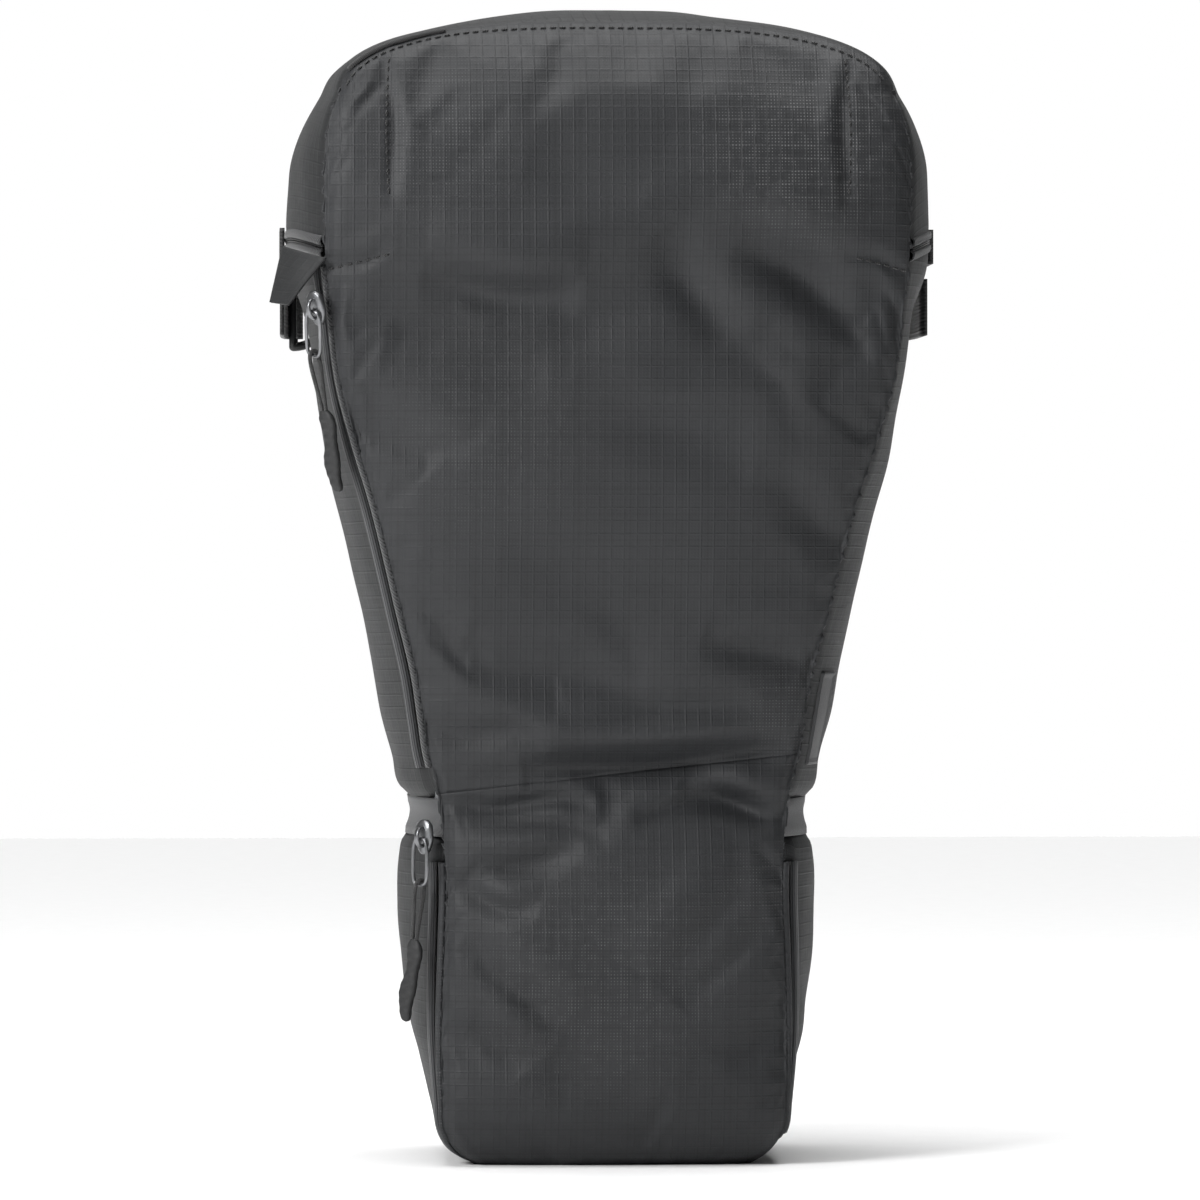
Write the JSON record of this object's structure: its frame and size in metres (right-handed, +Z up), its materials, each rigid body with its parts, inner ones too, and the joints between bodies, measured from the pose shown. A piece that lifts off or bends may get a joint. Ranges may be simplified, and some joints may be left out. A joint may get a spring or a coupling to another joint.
{
  "type": "camera lens bag",
  "caption": "Tapered padded camera and long-lens bag with a front-hinged zip lid, side zip, narrow neck and a lower compartment with a zipped flap.",
  "frame": {"origin": "middle of the flat base, on the surface that the bag stands on", "axes": "+Z up the bag, -Y out of the front panel, +X to the right seen from the front"},
  "size_m": [0.2876, 0.1814, 0.5],
  "materials": {
    "shell_fabric": "coated ripstop nylon, satin",
    "back_fabric": "spacer mesh, matt",
    "webbing": "woven nylon webbing",
    "foam": "closed-cell foam",
    "lining": "brushed tricot",
    "board": "matt polyethylene",
    "patch": "matt moulded",
    "zip_tape": "laminated zip tape",
    "zip_teeth": "nylon coil",
    "slider_metal": "gunmetal plated zinc",
    "cord": "braided cord",
    "grip_rubber": "soft-touch moulded",
    "ring_plastic": "moulded acetal"
  },
  "bodies": {
    "main_shell": {"lower_zip_teeth": "zip_teeth", "lower_zip_tape": "zip_tape", "lower_left_gusset": "shell_fabric", "lower_right_gusset": "shell_fabric", "lower_back_panel": "back_fabric", "base_panel": "shell_fabric", "base_board": "board", "base_foam": "foam", "lower_side_foam": "foam", "lower_back_foam": "foam", "lower_lining": "lining", "main_front_panel": "shell_fabric", "neck_band": "webbing", "lid_zip_shell_tape": "zip_tape", "lid_zip_shell_teeth": "zip_teeth", "side_zip_tapes": "zip_tape", "side_zip_teeth": "zip_teeth", "main_left_gusset": "shell_fabric", "main_right_gusset": "shell_fabric", "main_back_panel": "back_fabric", "main_front_foam": "foam", "back_board": "board", "main_left_foam": "foam", "main_right_foam": "foam", "main_back_foam": "foam", "main_lining": "lining", "neck_divider": "foam", "label_patch": "patch", "side_zip_hood": "shell_fabric", "left_strap_loop": "webbing", "right_strap_loop": "webbing"},
    "lid": {"lid_front_panel": "shell_fabric", "lid_top_panel": "shell_fabric", "lid_zip_teeth": "zip_teeth", "lid_zip_tape": "zip_tape", "lid_left_gusset": "shell_fabric", "lid_right_gusset": "shell_fabric", "lid_back_panel": "back_fabric", "lid_foam": "foam", "lid_lining": "lining", "lid_tabs": "webbing"},
    "lower_flap": {"flap_panel": "shell_fabric", "flap_zip_tape": "zip_tape", "flap_zip_teeth": "zip_teeth", "flap_foam": "foam", "flap_lining": "lining"},
    "side_slider": {"side_slider": "slider_metal"},
    "side_bail": {"side_bail": "slider_metal"},
    "side_pull": {"side_cord": "cord", "side_grip": "grip_rubber"},
    "lower_slider": {"lower_slider": "slider_metal"},
    "lower_bail": {"lower_bail": "slider_metal"},
    "lower_pull": {"lower_cord": "cord", "lower_grip": "grip_rubber"},
    "lid_slider": {"lid_slider": "slider_metal"},
    "lid_bail": {"lid_bail": "slider_metal"},
    "lid_pull": {"lid_cord": "cord", "lid_grip": "grip_rubber"},
    "left_ring": {"left_d_ring": "ring_plastic"},
    "right_ring": {"right_d_ring": "ring_plastic"}
  },
  "joints": [
    {"name": "lid_hinge", "type": "hinge", "parent": "main_shell", "child": "lid", "pos_m": [0, -0.0962, 0.39], "axis": [1, 0, 0], "range_deg": [0, 100]},
    {"name": "lower_flap_hinge", "type": "hinge", "parent": "main_shell", "child": "lower_flap", "pos_m": [0, -0.0645, 0.139], "axis": [-1, 0, 0], "range_deg": [0, 100]},
    {"name": "side_zip_slide", "type": "slide", "parent": "main_shell", "child": "side_slider", "axis": [0.2065, 0.1427, -0.968], "range_m": [0, 0.135]},
    {"name": "side_bail_hinge", "type": "hinge", "parent": "side_slider", "child": "side_bail", "pos_m": [-0.13015, -0.08954, 0.36667], "axis": [-0.7239, 0.6623, 0.1931], "range_deg": [0, 110]},
    {"name": "side_pull_hinge", "type": "hinge", "parent": "side_bail", "child": "side_pull", "pos_m": [-0.12952, -0.08348, 0.34825], "axis": [-0.7014, 0.7127, -0.0085], "range_deg": [0, 65]},
    {"name": "lower_zip_slide", "type": "slide", "parent": "main_shell", "child": "lower_slider", "axis": [0, 0, -1], "range_m": [0, 0.055]},
    {"name": "lower_bail_hinge", "type": "hinge", "parent": "lower_slider", "child": "lower_bail", "pos_m": [-0.08371, -0.06167, 0.14107], "axis": [-0.7179, 0.6961, 0], "range_deg": [0, 110]},
    {"name": "lower_pull_hinge", "type": "hinge", "parent": "lower_bail", "child": "lower_pull", "pos_m": [-0.08371, -0.06167, 0.12167], "axis": [-0.7109, 0.6894, 0.1392], "range_deg": [0, 65]},
    {"name": "lid_zip_slide", "type": "slide", "parent": "main_shell", "child": "lid_slider", "axis": [1, 0, 0], "range_m": [0, 0.12]},
    {"name": "lid_bail_hinge", "type": "hinge", "parent": "lid_slider", "child": "lid_bail", "pos_m": [-0.059, 0.0813, 0.3898], "axis": [0.6428, 0, 0.766], "range_deg": [0, 110]},
    {"name": "lid_pull_hinge", "type": "hinge", "parent": "lid_bail", "child": "lid_pull", "pos_m": [-0.04414, 0.0813, 0.37733], "axis": [0.8191, 0, 0.5736], "range_deg": [0, 65]},
    {"name": "left_ring_hinge", "type": "hinge", "parent": "main_shell", "child": "left_ring", "pos_m": [-0.137, 0.08, 0.374], "axis": [0, 0, 1], "range_deg": [0, 150]},
    {"name": "right_ring_hinge", "type": "hinge", "parent": "main_shell", "child": "right_ring", "pos_m": [0.137, 0.08, 0.374], "axis": [0, 0, -1], "range_deg": [0, 150]}
  ]
}
